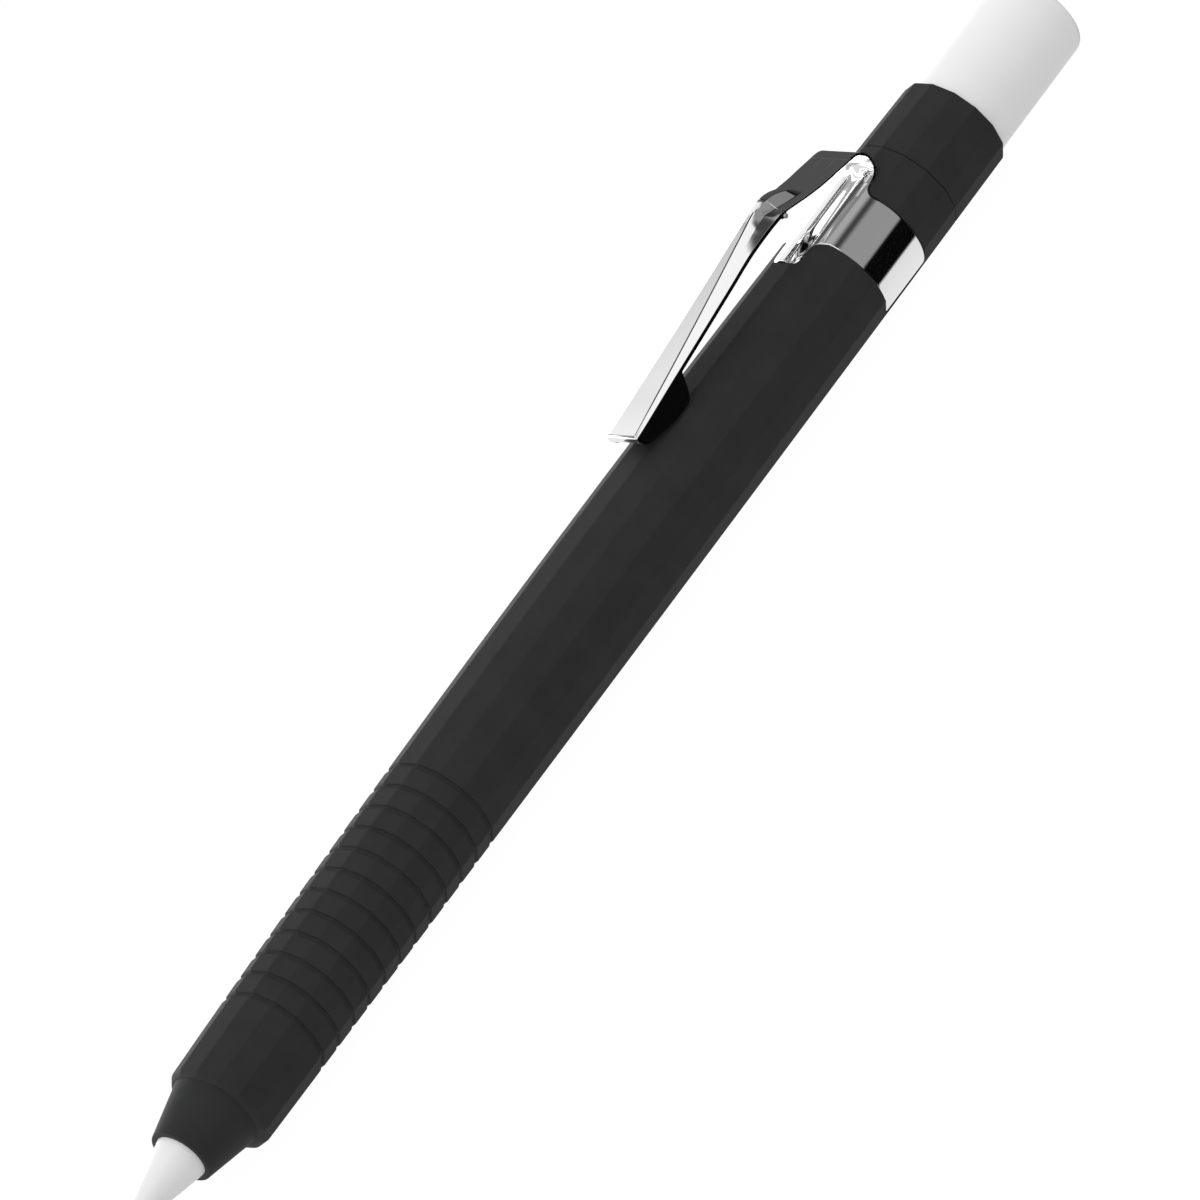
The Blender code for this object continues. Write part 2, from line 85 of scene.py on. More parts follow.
FACETS = 14
FACET_TURN = 2 * pi / FACETS
FACET_CREASE = 240        # higher is sharper
SWELL_X = 6.0
SWELL_R = 5.62
SWELL_FALL = 1.5e-4
NOSE_R = 3.02
SHOULDER_X = -57.7
SHOULDER_R = 4.2
SHOULDER_ROUND = 0.8
NOSE_LIP = 0.13
RIM_LIP = 0.22
SLEEVE_FIT = 0.08         # radial clearance round the stylus
CONE_FIT = 0.06

GROOVES = 12
GROOVE_FIRST_X = -48.3
GROOVE_PITCH = 2.4
GROOVE_SHAPE = [(-0.64, 0.0), (-0.54, 0.02), (-0.40, 0.09), (-0.27, 0.165), (-0.20, 0.18),
                (-0.06, 0.18), (-0.04, 0.15), (-0.025, 0.09), (0.02, 0.03), (0.09, 0.0)]

BAND_FRONT_X = 40.7
BAND_REAR_X = 46.8
BAND_R = 5.3
BAND_LIFT = 0.17
BAND_SHEET = 0.24
BAND_END = radians(139)
WINDOW_FIT = 0.05
WINDOW_TOP_R = 6.1        # the cutter ends outside the sleeve
CLIP_SHEET = 0.22


# ---------------------------------------------------------------- mesh helpers
def link_mesh(name, shape, crease=40):
    bmesh.ops.recalc_face_normals(shape, faces=shape.faces)
    mesh = bpy.data.meshes.new(name)
    shape.to_mesh(mesh)
    shape.free()
    item = bpy.data.objects.new(name, mesh)
    bpy.context.scene.collection.objects.link(item)
    smooth(item, crease)
    return item


def smooth(item, crease):
    item.data.shade_smooth()
    item.data.set_sharp_from_angle(angle=radians(crease))


def add_loft(shape, rings, cyclic=False, capped=True):
    """Joins rings of (x, y, z) points, in millimetres from the stylus axis, with quads."""
    made = [[shape.verts.new((x * MM, y * MM, (AXIS_Z + z) * MM)) for x, y, z in ring]
            for ring in rings]
    pairs = list(zip(made, made[1:])) + ([(made[-1], made[0])] if cyclic else [])
    for first, second in pairs:
        for k in range(len(first)):
            after = (k + 1) % len(first)
            shape.faces.new((first[k], first[after], second[after], second[k]))
    if capped and not cyclic:
        shape.faces.new(made[0])
        shape.faces.new(made[-1])


def loft(name, rings, cyclic=False, crease=40):
    shape = bmesh.new()
    add_loft(shape, rings, cyclic)
    return link_mesh(name, shape, crease)


def turned_solid(shape, profile, sides=160):
    """A turned body whose first and last points lie on the axis."""
    ends = [(x * MM, 0, AXIS_Z * MM) for x, r in (profile[0], profile[-1])]
    rings = [[(x, r * sin(2 * pi * k / sides), r * cos(2 * pi * k / sides)) for k in range(sides)]
             for x, r in profile[1:-1]]
    add_loft(shape, rings, capped=False)
    shape.verts.ensure_lookup_table()
    total = len(shape.verts)
    for end, start in zip(ends, (0, total - sides)):
        pole = shape.verts.new(end)
        shape.verts.ensure_lookup_table()
        for k in range(sides):
            shape.faces.new((pole, shape.verts[start + k], shape.verts[start + (k + 1) % sides]))


def arc(centre, radius, start, end, steps):
    """(x, height) points on an arc between two angles in degrees."""
    turns = [radians(start + (end - start) * k / steps) for k in range(steps + 1)]
    return [(centre[0] + radius * cos(t), centre[1] + radius * sin(t)) for t in turns]


def between(table, x):
    """Values read from rows of (x, ...) with smooth slopes, x falling or rising."""
    rows = sorted(table)
    if x <= rows[0][0]:
        return rows[0][1:]
    if x >= rows[-1][0]:
        return rows[-1][1:]
    k = max(i for i, row in enumerate(rows) if row[0] <= x)
    low, high = rows[k], rows[k + 1]
    before, after = rows[max(k - 1, 0)], rows[min(k + 2, len(rows) - 1)]
    width = high[0] - low[0]
    t = (x - low[0]) / width
    values = []
    for a, b, before_value, after_value in zip(low[1:], high[1:], before[1:], after[1:]):
        step = (b - a) / width
        start = slope(step, (a - before_value) / max(low[0] - before[0], 1e-9), k > 0)
        end = slope(step, (after_value - b) / max(after[0] - high[0], 1e-9), k + 2 < len(rows))
        values.append((2 * t ** 3 - 3 * t ** 2 + 1) * a + (t ** 3 - 2 * t ** 2 + t) * width * start
                      + (3 * t ** 2 - 2 * t ** 3) * b + (t ** 3 - t ** 2) * width * end)
    return values


def slope(inner, outer, has_outer):
    """A slope that never overshoots between two neighbouring stretches."""
    if not has_outer:
        return inner
    return 0.0 if inner * outer <= 0 else 2 * inner * outer / (inner + outer)


def cone_radius(x):
    return (x - TIP_APEX_X) * tan(TIP_ANGLE)


# ---------------------------------------------------------------- the sleeve
def swell(x):
    return SWELL_R - SWELL_FALL * (x - SWELL_X) ** 2


def facet_angles():
    """Angles round the sleeve, close together at the rounded facet edges."""
    shares = [-0.5, -0.48, -0.455, -0.42, -0.36, -0.28, -0.14]
    shares += [0.0] + [-share for share in reversed(shares[1:])]
    return [FACET_TURN * (k + share) for k in range(FACETS) for share in shares]


def facet_ring(x, depth=0.0):
    """A section with softly rounded facet edges, one flat up and one on the ground."""
    flat = swell(x) * cos(pi / FACETS)
    centre = flat - AXIS_Z
    ring = []
    for a in facet_angles():
        pull = sum(max(cos(a - FACET_TURN * k), 0.0) ** FACET_CREASE for k in range(FACETS))
        r = flat / pull ** (1 / FACET_CREASE) - depth
        ring.append((x, r * sin(a), centre + r * cos(a)))
    return ring


def round_ring(x, radius):
    return [(x, radius * sin(a), radius * cos(a)) for a in facet_angles()]


def mix_rings(first, second, share, x):
    return [(x, a[1] + (b[1] - a[1]) * share, a[2] + (b[2] - a[2]) * share)
            for a, b in zip(first, second)]


def bore_radius(x):
    wide, grip = STYLUS_R + SLEEVE_FIT, GRIP_R + SLEEVE_FIT
    if x >= 0:
        return wide
    if x > TAPER_X:
        return wide + (grip - wide) * x / TAPER_X
    return min(grip, cone_radius(x) + CONE_FIT)


def bore_rings(stations):
    return [round_ring(x, bore_radius(x)) for x in stations]


def nose_rings():
    """The round nose, from the rim of its opening to the shoulder."""
    rim = bore_radius(NOSE_X)
    lip = NOSE_LIP
    rings = [round_ring(NOSE_X, rim + 0.05), round_ring(NOSE_X, NOSE_R - lip)]
    rings += [round_ring(x, r) for x, r in arc((NOSE_X + lip, NOSE_R - lip), lip, 180, 100, 4)][1:]
    steps = 10
    for k in range(1, steps + 1):
        share = k / steps
        x = NOSE_X + lip + (SHOULDER_X - 0.16 - NOSE_X - lip) * share
        rings.append(round_ring(x, NOSE_R + (SHOULDER_R - 0.035 - NOSE_R) * share))
    rings.append(round_ring(SHOULDER_X - 0.05, SHOULDER_R - 0.005))
    return rings


def shoulder_rings():
    steps = 10
    rings = []
    for k in range(steps + 1):
        turn = pi / 2 * k / steps
        x = SHOULDER_X + SHOULDER_ROUND * (1 - cos(turn))
        share = 0.05 + 0.95 * sin(turn)
        rings.append(mix_rings(round_ring(x, SHOULDER_R), facet_ring(x), share, x))
    return rings


def make_barrel_skin():
    rings = nose_rings() + shoulder_rings()
    rings += [facet_ring(x) for x in (-55.5, -53, -50.5)]
    for k in range(GROOVES):
        lip = GROOVE_FIRST_X + GROOVE_PITCH * k
        rings += [facet_ring(lip + x, depth) for x, depth in GROOVE_SHAPE]
        rings.append(facet_ring(lip + 0.9))
    last = GROOVE_FIRST_X + GROOVE_PITCH * (GROOVES - 1)
    steps = 28
    rings += [facet_ring(last + 2 + (SEAM_FRONT_X - 0.06 - last - 2) * k / steps)
              for k in range(steps + 1)]
    rings += [facet_ring(SEAM_FRONT_X, 0.01), facet_ring(SEAM_FRONT_X + 0.02, 0.04)]
    rings += bore_rings([SEAM_FRONT_X + 0.02, 35, 15, 0, -15, -30, -45, -53, -54.2, -58, NOSE_X])
    barrel = loft("sleeve_barrel_skin", rings, cyclic=True, crease=50)
    window = sheet_body("clip_window", window_rings())
    cut = barrel.modifiers.new("window", "BOOLEAN")
    cut.object = window
    cut.solver = "EXACT"
    apply_modifiers(barrel)
    bpy.data.objects.remove(window, do_unlink=True)
    smooth(barrel, 35)
    return barrel


def make_cap_skin():
    lip = RIM_LIP
    rings = [facet_ring(SEAM_REAR_X, 0.11), facet_ring(SEAM_REAR_X + 0.01, 0.07),
             facet_ring(SEAM_REAR_X + 0.06, 0.02), facet_ring(SEAM_REAR_X + 0.11)]
    rings += [facet_ring(x) for x in (53, 54.5, 56, 57.5, 58.8)]
    rings += [facet_ring(RIM_X - lip * (1 - sin(t)), lip * (1 - cos(t)))
              for t in (radians(a) for a in (0, 18, 36, 54, 72, 90))]
    rings += bore_rings([RIM_X, 57, 54, SEAM_REAR_X])
    return loft("sleeve_cap_skin", rings, cyclic=True, crease=50)


def apply_modifiers(item):
    depsgraph = bpy.context.evaluated_depsgraph_get()
    mesh = bpy.data.meshes.new_from_object(item.evaluated_get(depsgraph))
    item.modifiers.clear()
    item.data = mesh


# ---------------------------------------------------------------- the clip's band
FRONT_EDGE = [  # distance round the band, x of the sheet's front edge
    (0.0, TAB_X), (1.0, TAB_X), (1.25, TAB_X + 0.05), (1.45, TAB_X + 0.18), (1.58, TAB_X + 0.38),
    (1.65, TAB_X + 0.7), (1.68, TAB_X + 1.3), (1.72, TAB_X + 1.9), (1.80, TAB_X + 2.3),
    (1.95, TAB_X + 2.58), (2.2, TAB_X + 2.8), (2.55, TAB_X + 2.95), (3.0, BAND_FRONT_X)]
REAR_EDGE = [
    (0.0, 48.6), (2.40, 48.6), (2.50, 48.3), (2.56, 47.95), (2.62, 47.62), (2.72, 47.35),
    (2.90, 47.12), (3.15, 46.93), (3.5, BAND_REAR_X)]
WINDOW_REAR = [
    (0.0, 49.72), (1.9, 49.70), (2.2, 49.62), (2.40, 49.48), (2.53, 49.25), (2.60, 48.9),
    (2.63, 48.3), (2.66, 47.9), (2.71, 47.65), (2.80, 47.40), (2.98, 47.17), (3.2, 46.99),
    (3.55, BAND_REAR_X + 0.06)]
PAD = [  # distance from the middle, how far the pressed pad stands above the band
    (0.0, 0.34), (0.30, 0.34), (0.34, 0.325), (0.42, 0.275), (0.55, 0.215), (0.72, 0.165),
    (0.95, 0.13), (1.2, 0.12), (1.68, 0.12), (1.76, 0.11), (1.86, 0.075), (2.0, 0.022), (2.12, 0.0)]
PAD_SHOULDER = 0.12
END_ROUND = 0.5


def sheet_edges(u, rear_table=None):
    """Front and rear edge of the clip's sheet at a distance u round the band."""
    front = between(FRONT_EDGE, u)[0]
    rear = between(rear_table or REAR_EDGE, u)[0]
    reach = (u - BAND_END * BAND_R + END_ROUND) / END_ROUND
    inset = END_ROUND * (1 - sqrt(1 - min(max(reach, 0.0), 1.0) ** 2))
    return front + 0.6 * inset, rear - inset


def band_stations():
    """Distances round the band from the clip's middle, on both sides."""
    near = [0.0, 0.15, 0.26, 0.30, 0.32, 0.34, 0.38, 0.42, 0.48, 0.55, 0.63, 0.72, 0.83, 0.95, 1.08]
    near += [1.2, 1.32, 1.42, 1.5, 1.56, 1.6, 1.63, 1.66, 1.69, 1.73, 1.77, 1.82, 1.87, 1.93, 2.0]
    near += [2.06, 2.12, 2.2, 2.3, 2.4, 2.45, 2.5, 2.53, 2.56, 2.59, 2.62, 2.66, 2.71, 2.77, 2.84]
    near += [2.92, 3.0, 3.1, 3.2, 3.35, 3.5, 3.6]
    end = BAND_END * BAND_R
    near += [3.6 + (end - END_ROUND - 3.6) * k / 48 for k in range(1, 49)]
    near += [end - END_ROUND * (1 - sin(pi / 2 * k / 6)) for k in range(1, 7)]
    return [-u for u in reversed(near[1:])] + near


def pad_height(u, x):
    """The pressed pad: a rib in the middle, a shoulder beside it, and a step down to the band."""
    height = between(PAD, abs(u))[0]
    shoulder = min(height, PAD_SHOULDER)
    rib = height - shoulder
    return shoulder + rib * (1.15 - 0.05 * (x - TAB_X))


def band_point(x, r, a):
    return (x, r * sin(a), BAND_LIFT + r * cos(a))


def band_ring(u):
    """The closed section of the sheet at one place round the band."""
    front, rear = sheet_edges(abs(u))
    edge = [(0.0, 0.14), (0.0, 0.07), (0.02, 0.03), (0.05, 0.008), (0.09, 0.0), (0.15, 0.0)]
    outline = [(front + x, drop) for x, drop in edge]
    outline += [(front + 0.15 + (rear - front - 0.3) * k / 12, 0.0) for k in range(1, 12)]
    outline += [(rear - x, drop) for x, drop in reversed(edge)]
    ring = [band_point(x, BAND_R + pad_height(u, x) - drop, u / BAND_R) for x, drop in outline]
    return ring + [band_point(x, BAND_R - BAND_SHEET, u / BAND_R) for x in (rear, front)]


def window_rings():
    """The cutter for the sleeve's window, a little larger than the sheet, with a flared rim."""
    wide = WINDOW_FIT
    floor, rim = BAND_R - BAND_SHEET - 0.03, BAND_R + 0.14
    rings = []
    for u in band_stations():
        a = (u + wide * max(-1.0, min(1.0, u / 0.5))) / BAND_R
        front, rear = sheet_edges(abs(u), WINDOW_REAR)
        outline = [(front - wide, floor), (front - wide, rim), (front - wide - 0.09, WINDOW_TOP_R),
                   (rear + 0.1, WINDOW_TOP_R), (rear + 0.01, rim), (rear + 0.01, floor)]
        rings.append([band_point(x, r, a) for x, r in outline])
    return rings


def sheet_body(name, rings, crease=40):
    shape = bmesh.new()
    add_loft(shape, rings)
    return link_mesh(name, shape, crease)


# ---------------------------------------------------------------- the clip's bridge and arm
ROOF = [  # x, then half width and height of the ridge, the middle crease and the side edge
    (14.2, 1.77, 8.13, 1.88, 8.03, 1.99, 7.92), (14.5, 1.75, 8.16, 1.87, 8.05, 1.99, 7.94),
    (20.0, 1.41, 8.81, 1.67, 8.64, 1.92, 8.467), (25.75, 1.05, 9.53, 1.45, 9.27, 1.85, 9.01),
    (31.0, 0.72, 10.23, 1.25, 9.87, 1.78, 9.51), (35.0, 0.47, 10.79, 1.10, 10.34, 1.73, 9.886),
    (36.4, 0.39, 10.99, 1.05, 10.47, 1.72, 9.92), (37.4, 0.34, 11.14, 1.00, 10.55, 1.73, 9.93),
    (38.4, 0.33, 11.25, 0.98, 10.54, 1.78, 9.93), (39.2, 0.42, 11.25, 1.05, 10.30, 1.86, 9.93),
    (40.0, 0.50, 11.14, 1.15, 10.05, 1.97, 9.80), (40.8, 0.56, 10.88, 1.27, 9.76, 2.10, 9.61),
    (41.7, 0.62, 10.38, 1.43, 9.47, 2.28, 9.39), (42.4, 0.70, 9.83, 1.55, 9.26, 2.40, 9.22),
    (43.1, 0.80, 9.30, 1.60, 9.06, 2.45, 9.05), (43.7, 0.85, 8.98, 1.60, 8.90, 2.47, 8.89),
    (44.4, 0.85, 8.73, 1.60, 8.73, 2.47, 8.728), (46.35, 0.85, 8.34, 1.60, 8.34, 2.52, 8.338),
    (47.3, 0.85, 8.15, 1.60, 8.15, 2.52, 8.148), (47.9, 0.85, 8.03, 1.60, 8.03, 2.52, 8.028)]
ARM_FRONT_X = 14.45
FOOT_EDGE = [  # x, height of the foot's lower edge
    (14.45, 7.40), (14.6, 7.02), (14.9, 6.74), (15.5, 6.50), (16.6, 6.25), (17.8, 6.01),
    (19.1, 5.84), (20.2, 5.82), (20.6, 5.86), (20.95, 6.02), (21.2, 6.30), (21.45, 6.80),
    (21.7, 7.45), (21.9, 7.95), (22.05, 8.30), (22.2, 8.42)]
ARM_REAR = 0.12           # the arm ends just behind the pin
SPLIT_GAP = 0.06          # and the bridge starts here
ARM_FLANGE = 0.36
BRIDGE_FLANGE = 0.2
EAR_Y = (1.28, 1.52)      # inner and outer face of the bridge's ears
PIN_LUG = [(-0.55, 0.0), (-0.4, 0.06), (-0.28, 0.22), (-0.1, 0.28), (0.2, 0.28)]
SUPPORT = 0.03


def rounded(points, radii, steps=4):
    """A polyline with its corners rounded; each rounded corner gives the same number of points."""
    made = []
    for k, ((y, z), radius) in enumerate(zip(points, radii)):
        if not radius:
            made.append((y, z))
            continue
        corner = Vector((y, z))
        back = Vector(points[k - 1]) - corner
        ahead = Vector(points[k + 1]) - corner
        turn = pi - back.angle(ahead)
        reach = min(radius * tan(turn / 2), 0.4 * back.length, 0.4 * ahead.length)
        extra = min(SUPPORT, 0.05 * back.length, 0.05 * ahead.length)
        start, end = corner + back.normalized() * reach, corner + ahead.normalized() * reach
        made.append(tuple(corner + back.normalized() * (reach + extra)))
        for step in range(steps + 1):
            t = step / steps
            made.append(tuple((1 - t) ** 2 * start + 2 * t * (1 - t) * corner + t * t * end))
        made.append(tuple(corner + ahead.normalized() * (reach + extra)))
    return made


def roof_section(x, row, flange):
    """A closed section of bent sheet: rounded creases outside, plain faces inside."""
    ridge, ridge_z, mid, mid_z, side, side_z = row
    sheet = CLIP_SHEET
    foot = side_z - flange
    outer = rounded([(0.0, ridge_z), (ridge, ridge_z), (mid, mid_z), (side, side_z), (side, foot)],
                    [0, 0.34, 0.3, 0.05, 0])
    pitch = sqrt(1 + ((ridge_z - side_z) / (side - ridge)) ** 2)
    inner_side = side - sheet
    top = ridge_z - sheet * min(pitch, 1.5)
    inner = [(inner_side, foot), (inner_side, max(side_z - 0.55 * sheet, foot + 0.02)),
             (max(mid - 0.55 * sheet, 0.04), max(mid_z - sheet * min(pitch, 1.6), foot + 0.03)),
             (max(ridge - 0.4 * sheet, 0.02), top), (0.0, top)]
    near = outer + inner
    far = [(-y, z) for y, z in reversed(near[1:-1])]
    return [(x, y, z) for y, z in near + far]


def arm_flange(x, side_z):
    """Depth of the side flange, which drops into a foot on the barrel and into lugs at the pin."""
    low = between(FOOT_EDGE, x)[0] if x <= FOOT_EDGE[-1][0] else side_z - ARM_FLANGE
    return max(ARM_FLANGE + between(PIN_LUG, x - PIN_X)[0], side_z - low)


def arm_rings():
    rear = PIN_X + ARM_REAR
    stations = [rear + (22.3 - rear) * k / 84 for k in range(84)]
    stations += [22.3 - 0.1 * k for k in range(28)]
    stations += [19.5 + (14.9 - 19.5) * k / 18 for k in range(18)]
    stations += [14.9, 14.82, 14.74, 14.66, 14.6, 14.55, 14.5, ARM_FRONT_X]
    rings = []
    for x in stations:
        row = between(ROOF, x)
        rings.append(roof_section(x, row, arm_flange(x, row[5])))
    return rings


def bridge_rings():
    front = PIN_X + ARM_REAR + SPLIT_GAP
    steps = 64
    rings = []
    for k in range(steps + 1):
        x = front + (47.9 - front) * k / steps
        rings.append(roof_section(x, between(ROOF, x), BRIDGE_FLANGE))
    return rings


FOLD_HALF = 2.5
FOLD = [  # x and height of the sheet's middle at its side edge, and how far its middle is crowned
    (47.6, 7.98, 0.0), (48.1, 7.87, 0.0), (48.55, 7.72, 0.0), (48.93, 7.45, 0.0), (49.2, 7.1, 0.0),
    (49.35, 6.7, 0.02), (49.4, 6.3, 0.08), (49.35, 5.9, 0.2), (49.2, 5.53, 0.36), (48.95, 5.2, 0.5),
    (48.6, 4.96, 0.6), (48.2, 4.84, 0.63), (47.8, 4.76, 0.66)]


def fold_rings():
    """The curl that carries the sheet from the band up and over into the bridge."""
    half = FOLD_HALF
    rings = []
    for k in range(61):
        place = (len(FOLD) - 1) * k / 60
        x, z, crown = along(FOLD, place)
        before, after = along(FOLD, max(place - 0.1, 0)), along(FOLD, min(place + 0.1, len(FOLD) - 1))
        path = Vector((after[0] - before[0], after[1] - before[1])).normalized()
        out = Vector((path.y, -path.x)) * -CLIP_SHEET / 2
        wide = [half * (2 * j / 20 - 1) for j in range(21)]
        ring = [(x + out.x, y, z + out.y + crown * (1 - (y / half) ** 2)) for y in wide]
        ring += [(x - out.x, y, z - out.y + crown * (1 - (y / half) ** 2)) for y in reversed(wide)]
        rings.append(ring)
    return rings


def along(table, place):
    """A smooth point on a list of points, at a fractional index."""
    rows = [(k, *row) for k, row in enumerate(table)]
    k = min(int(place), len(rows) - 2)
    t = place - k
    values = []
    for column in range(1, len(rows[0])):
        p1, p2 = rows[k][column], rows[k + 1][column]
        p0 = rows[k - 1][column] if k else 2 * p1 - p2
        p3 = rows[k + 2][column] if k + 2 < len(rows) else 2 * p2 - p1
        values.append(0.5 * (2 * p1 + (p2 - p0) * t + (2 * p0 - 5 * p1 + 4 * p2 - p3) * t ** 2
                             + (3 * p1 - p0 - 3 * p2 + p3) * t ** 3))
    return values


def ear_rings(side):
    """The bridge's ear, inside the arm's lug, that holds the pin."""
    outline = [(-0.3, 9.22), (-0.33, 9.42), (-0.15, 9.6), (0.3, 9.74), (0.9, 9.8), (0.75, 9.45),
               (0.2, 9.15)]
    return [[(PIN_X + x, side * y, z) for x, z in outline] for y in EAR_Y]


def make_bracket_skin():
    shape = bmesh.new()
    add_loft(shape, [band_ring(u) for u in band_stations()])
    add_loft(shape, bridge_rings())
    add_loft(shape, fold_rings())
    for side in (-1, 1):
        add_loft(shape, ear_rings(side))
    return link_mesh("clip_bracket_skin", shape, 38)


def rod(shape, radius, half, chamfer, sides=40):
    """A cross rod on the hinge axis with chamfered ends."""
    profile = [(-half, radius - chamfer), (-half + chamfer, radius), (half - chamfer, radius),
               (half, radius - chamfer)]
    rings = [[(PIN_X + r * cos(2 * pi * k / sides), y, PIN_Z + r * sin(2 * pi * k / sides))
              for k in range(sides)] for y, r in profile]
    add_loft(shape, rings)


def lip_rings():
    """The sheet's turned-down front end."""
    ridge, ridge_z, *_, side, side_z = between(ROOF, ARM_FRONT_X)
    rings = []
    for step, drop, narrow in ((0.1, 0.0, 0.0), (0.0, 0.0, 0.0), (-0.07, 0.02, 0.005),
                               (-0.12, 0.06, 0.02), (-0.14, 0.14, 0.04)):
        x = ARM_FRONT_X + step
        top = ridge_z + 0.12 * step - drop
        edge = side_z + 0.09 * step - 0.6 * drop
        rings.append([(x, y, z) for y, z in ((-side + narrow, side_z - 0.52), (-side + narrow, edge),
                                             (-ridge + narrow, top), (ridge - narrow, top),
                                             (side - narrow, edge), (side - narrow, side_z - 0.52))])
    return rings


def make_arm_skin():
    shape = bmesh.new()
    add_loft(shape, arm_rings())
    add_loft(shape, lip_rings())
    return link_mesh("clip_arm_skin", shape, 38)


def make_pin_skin():
    shape = bmesh.new()
    rod(shape, (PIN_HIGH.x - PIN_LOW.x) / 2 / MM, PIN_HALF, 0.1)
    return link_mesh("clip_pin_skin", shape, 30)


# ---------------------------------------------------------------- the stylus
def make_shell_skin():
    """Housing and rear end as one smooth white surface."""
    edge = END_EDGE
    corner = arc((REAR_X - edge, STYLUS_R - edge), edge, 90, 0, 10)
    cone_top = TIP_APEX_X + GRIP_R / tan(TIP_ANGLE)
    profile = [(REAR_X, 0)] + [(x, r) for x, r in reversed(corner)]
    profile += [(60, STYLUS_R), (30, STYLUS_R), (0, STYLUS_R), (-20, STYLUS_R - 0.089),
                (TAPER_X, GRIP_R), (cone_top + 0.6, GRIP_R), (cone_top + 0.2, GRIP_R - 0.01),
                (cone_top - 0.4, GRIP_R - 0.09)]
    profile += [(HOUSING_X + 0.05, cone_radius(HOUSING_X + 0.05)),
                (HOUSING_X, cone_radius(HOUSING_X) - 0.05), (HOUSING_X, 2.7), (-57.8, 2.7),
                (-54, 3.6), (-52, 3.9), (-50, HOUSING_BORE_R), (69.9, HOUSING_BORE_R), (69.9, 0)]
    shape = bmesh.new()
    turned_solid(shape, profile)
    return link_mesh("stylus_shell_skin", shape, 35)


def make_nib_skin():
    profile = [(TIP_X, 0)]
    ball_x = TIP_X + TIP_BALL_R
    steps = 8
    for k in range(1, steps + 1):
        turn = (pi / 2 - TIP_ANGLE) * k / steps
        profile.append((ball_x - TIP_BALL_R * cos(turn), TIP_BALL_R * sin(turn)))
    profile += [(x, cone_radius(x)) for x in (-71, -68, -65, -62)]
    profile += [(NIB_BASE_X - 0.06, cone_radius(NIB_BASE_X - 0.06)),
                (NIB_BASE_X, cone_radius(NIB_BASE_X) - 0.06), (NIB_BASE_X, INSERT_R), (-66.0, INSERT_R),
                (-66.0, ELECTRODE_R), (-71.3, ELECTRODE_R), (-71.3, 0)]
    shape = bmesh.new()
    turned_solid(shape, profile)
    return link_mesh("nib_skin", shape, 35)


# ---------------------------------------------------------------- materials
class Finish:
    """A node material with a Principled shader and short ways to feed it."""

    def __init__(self, name, colour, roughness, metallic=0.0):
        self.made = bpy.data.materials.new(name)
        self.made.use_nodes = True
        self.tree = self.made.node_tree
        self.shader = self.tree.nodes["Principled BSDF"]
        self.shader.inputs["Base Color"].default_value = (*colour, 1.0)
        self.shader.inputs["Roughness"].default_value = roughness
        self.shader.inputs["Metallic"].default_value = metallic
        self.place = self.tree.nodes.new("ShaderNodeTexCoord").outputs["Object"]

    def node(self, kind, **settings):
        made = self.tree.nodes.new(kind)
        for key, value in settings.items():
            setattr(made, key, value)
        return made

    def noise(self, scale, detail=3.0, roughness=0.5, stretch=None):
        """Noise in object space; scale is in cells per metre, stretch scales each axis."""
        made = self.node("ShaderNodeTexNoise")
        made.inputs["Scale"].default_value = scale
        made.inputs["Detail"].default_value = detail
        made.inputs["Roughness"].default_value = roughness
        source = self.place
        if stretch:
            mapping = self.node("ShaderNodeMapping")
            mapping.inputs["Scale"].default_value = stretch
            self.tree.links.new(source, mapping.inputs["Vector"])
            source = mapping.outputs["Vector"]
        self.tree.links.new(source, made.inputs["Vector"])
        return made.outputs["Fac"]

    def ramp(self, source, stops):
        made = self.node("ShaderNodeValToRGB")
        ramp = made.color_ramp
        while len(ramp.elements) < len(stops):
            ramp.elements.new(0.5)
        for element, (position, colour) in zip(ramp.elements, stops):
            element.position = position
            element.color = (*colour, 1.0)
        self.tree.links.new(source, made.inputs["Fac"])
        return made.outputs["Color"]

    def span(self, source, low, high):
        made = self.node("ShaderNodeMapRange")
        made.inputs["To Min"].default_value = low
        made.inputs["To Max"].default_value = high
        self.tree.links.new(source, made.inputs["Value"])
        return made.outputs["Result"]

    def feed(self, socket, source):
        self.tree.links.new(source, self.shader.inputs[socket])

    def bump(self, source, distance, strength=1.0):
        made = self.node("ShaderNodeBump")
        made.inputs["Distance"].default_value = distance
        made.inputs["Strength"].default_value = strength
        self.tree.links.new(source, made.inputs["Height"])
        earlier = self.shader.inputs["Normal"].links
        if earlier:
            self.tree.links.new(earlier[0].from_socket, made.inputs["Normal"])
        self.tree.links.new(made.outputs["Normal"], self.shader.inputs["Normal"])


def grey(value):
    return (value, value, value)


def silicone_finish():
    """Matte black silicone: a fine spark-eroded skin with soft, uneven bloom."""
    finish = Finish("black_silicone", (0.025, 0.025, 0.026), 0.7)
    finish.shader.inputs["Specular IOR Level"].default_value = 0.27
    cloud = finish.noise(350, 4, 0.6)
    grain = finish.noise(9000, 2, 0.6)
    finish.feed("Base Color", finish.ramp(cloud, [(0.3, (0.0230, 0.0230, 0.0238)),
                                                  (0.7, (0.0275, 0.0275, 0.0280))]))
    finish.feed("Roughness", finish.span(grain, 0.62, 0.78))
    finish.bump(grain, 0.000012, 0.6)
    return finish.made


